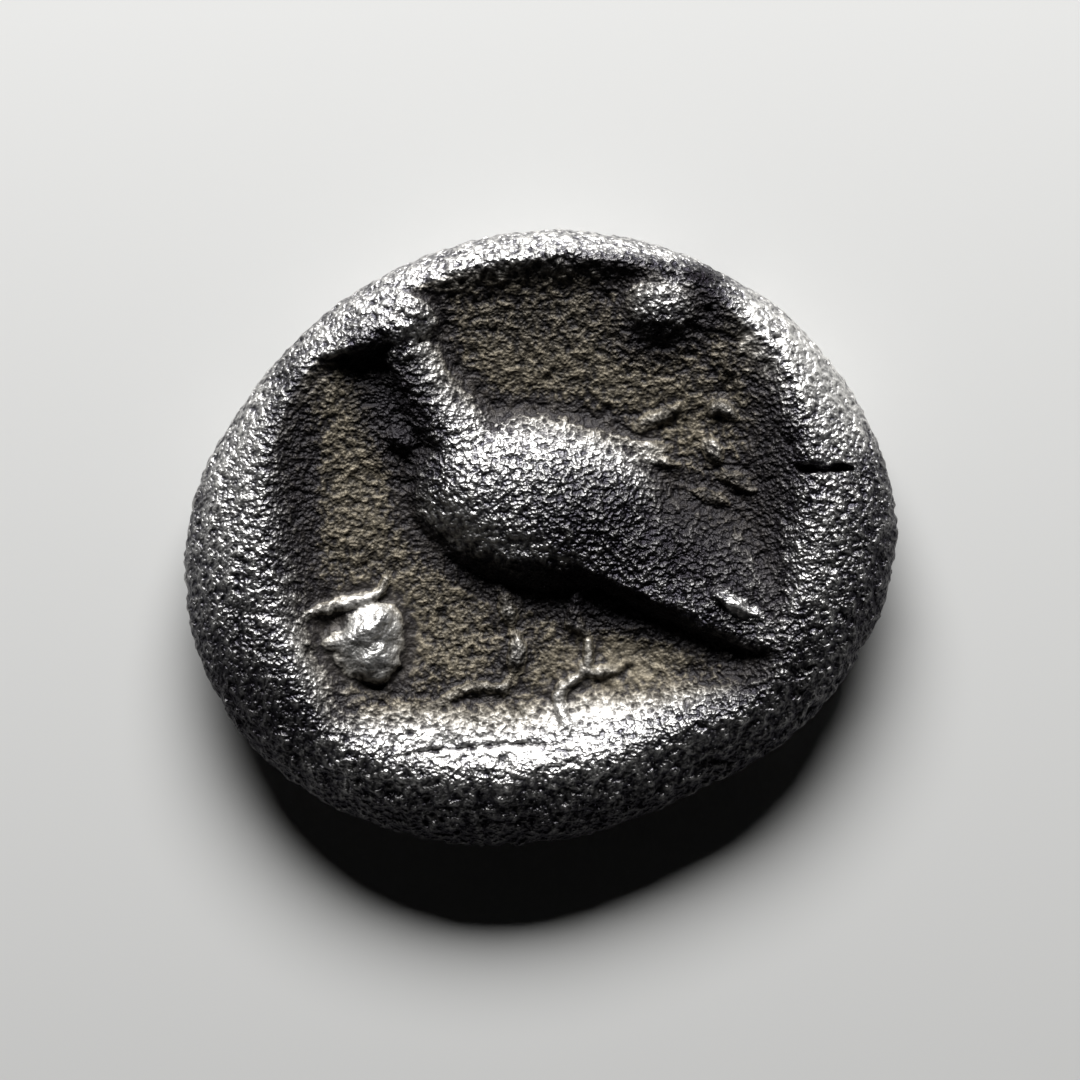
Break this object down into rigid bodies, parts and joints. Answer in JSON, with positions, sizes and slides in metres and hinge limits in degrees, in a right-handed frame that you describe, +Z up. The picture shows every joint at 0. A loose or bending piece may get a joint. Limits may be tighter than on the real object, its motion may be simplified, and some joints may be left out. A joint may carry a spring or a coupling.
{
  "type": "tetartemorion coin",
  "caption": "Small irregular silver coin, lying with its sunk square up: a bird standing left in relief with pellets, a rounded rim with a crack, and a worn rosette below.",
  "frame": {"origin": "under the middle of the coin's box, on the surface it lies on", "axes": "+Z up out of the sunk reverse, +X to the right of its design along the coin's length, +Y towards the top of the design"},
  "size_m": [0.0066, 0.0056, 0.001],
  "materials": {
    "silver": "worn, finely pitted silver with darker tarnish in the hollows"
  },
  "bodies": {
    "root": {"coin": "silver"}
  },
  "joints": []
}
